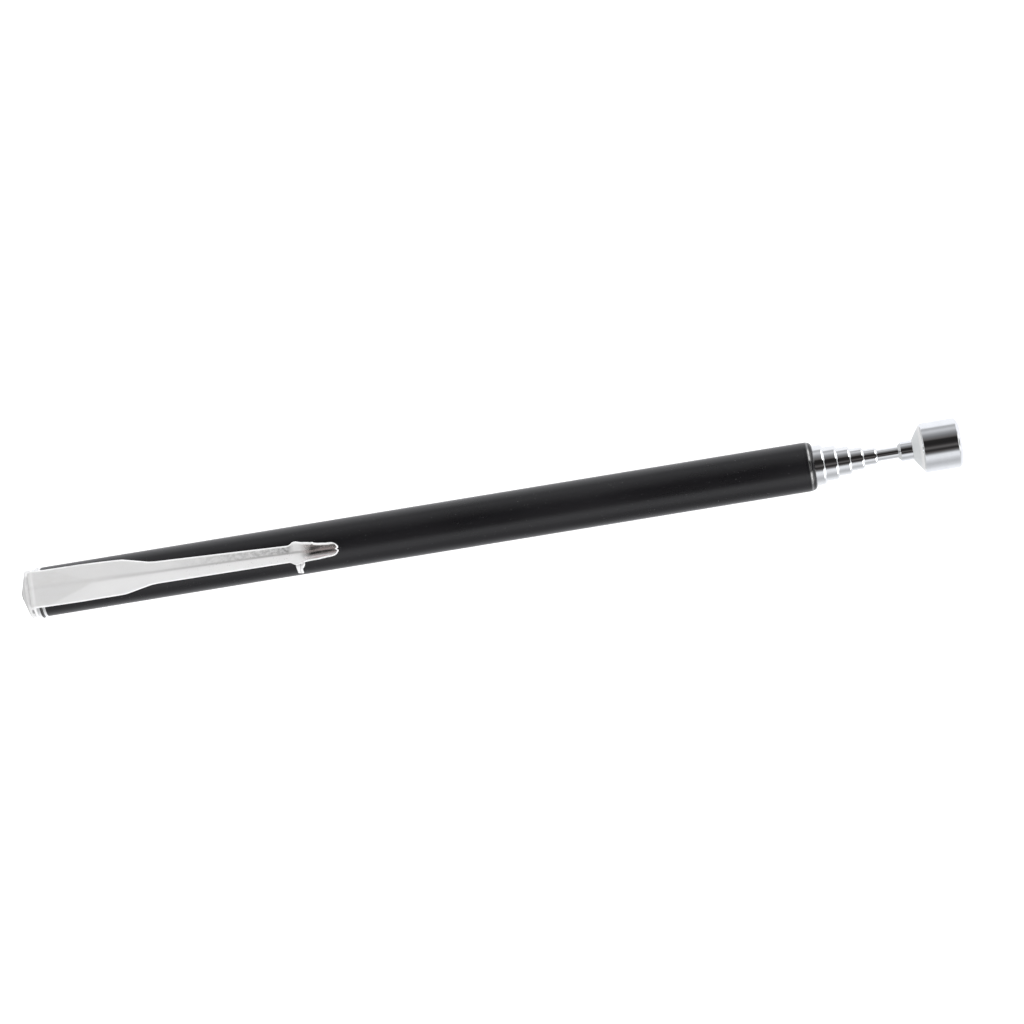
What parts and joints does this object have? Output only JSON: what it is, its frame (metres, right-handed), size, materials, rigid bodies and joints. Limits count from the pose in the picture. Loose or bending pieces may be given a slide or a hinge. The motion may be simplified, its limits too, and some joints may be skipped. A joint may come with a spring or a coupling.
{
  "type": "telescopic magnetic pickup tool",
  "caption": "Pocket-size telescopic magnetic pickup tool: black barrel with a pressed steel pocket clip, chromed sliding tubes, and a magnet in a flared cup at the tip.",
  "frame": {"origin": "centre of the magnet's face, with the mast closed", "axes": "+X along the tool's axis, out of the magnet's face; +Z from the axis towards the pocket clip"},
  "size_m": [0.125, 0.0068, 0.008],
  "materials": {
    "black_paint": "semi-gloss black enamel on steel tube",
    "bright_collar": "bright plated, turned",
    "satin_plating": "satin plating on the clip and the end cap",
    "chromed_tube": "bright chrome",
    "cup_plating": "bright chrome, turned, with fine lathe marks",
    "magnet_plating": "dull nickel plating on the magnet",
    "brass": "turned brass",
    "spring_bronze": "rolled phosphor bronze"
  },
  "bodies": {
    "barrel": {"barrel": "black_paint", "rear_bush": "bright_collar", "end_cap": "satin_plating", "clip_root": "satin_plating"},
    "clip": {"clip_arm": "satin_plating"},
    "section_1": {"section_1_tube": "chromed_tube", "section_1_stop_bush": "brass", "section_1_friction_springs": "spring_bronze"},
    "section_2": {"section_2_tube": "chromed_tube", "section_2_stop_bush": "brass", "section_2_friction_springs": "spring_bronze"},
    "section_3": {"section_3_tube": "chromed_tube", "section_3_stop_bush": "brass", "section_3_friction_springs": "spring_bronze"},
    "section_4": {"section_4_tube": "chromed_tube", "section_4_stop_bush": "brass", "section_4_friction_springs": "spring_bronze"},
    "section_5": {"section_5_tube": "chromed_tube", "section_5_stop_bush": "brass", "section_5_friction_springs": "spring_bronze"},
    "tip": {"tip_rod": "chromed_tube", "section_6_stop_bush": "brass", "section_6_friction_springs": "spring_bronze", "magnet_cup": "cup_plating", "magnet": "magnet_plating"}
  },
  "joints": [
    {"name": "section_1_slide", "type": "slide", "parent": "barrel", "child": "section_1", "axis": [1, 0, 0], "range_m": [0, 0.08077]},
    {"name": "section_2_slide", "type": "slide", "parent": "section_1", "child": "section_2", "axis": [1, 0, 0], "range_m": [0, 0.08233]},
    {"name": "section_3_slide", "type": "slide", "parent": "section_2", "child": "section_3", "axis": [1, 0, 0], "range_m": [0, 0.08408]},
    {"name": "section_4_slide", "type": "slide", "parent": "section_3", "child": "section_4", "axis": [1, 0, 0], "range_m": [0, 0.08583]},
    {"name": "section_5_slide", "type": "slide", "parent": "section_4", "child": "section_5", "axis": [1, 0, 0], "range_m": [0, 0.08758]},
    {"name": "section_6_slide", "type": "slide", "parent": "section_5", "child": "tip", "axis": [1, 0, 0], "range_m": [0, 0.08942]},
    {"name": "clip_flex", "type": "hinge", "parent": "barrel", "child": "clip", "pos_m": [-0.12208, -0.00003, 0.00387], "axis": [-0.0227, -0.9997, 0], "range_deg": [0, 4], "stiffness_Nm_per_rad": 0.4, "springref_deg": -1}
  ]
}
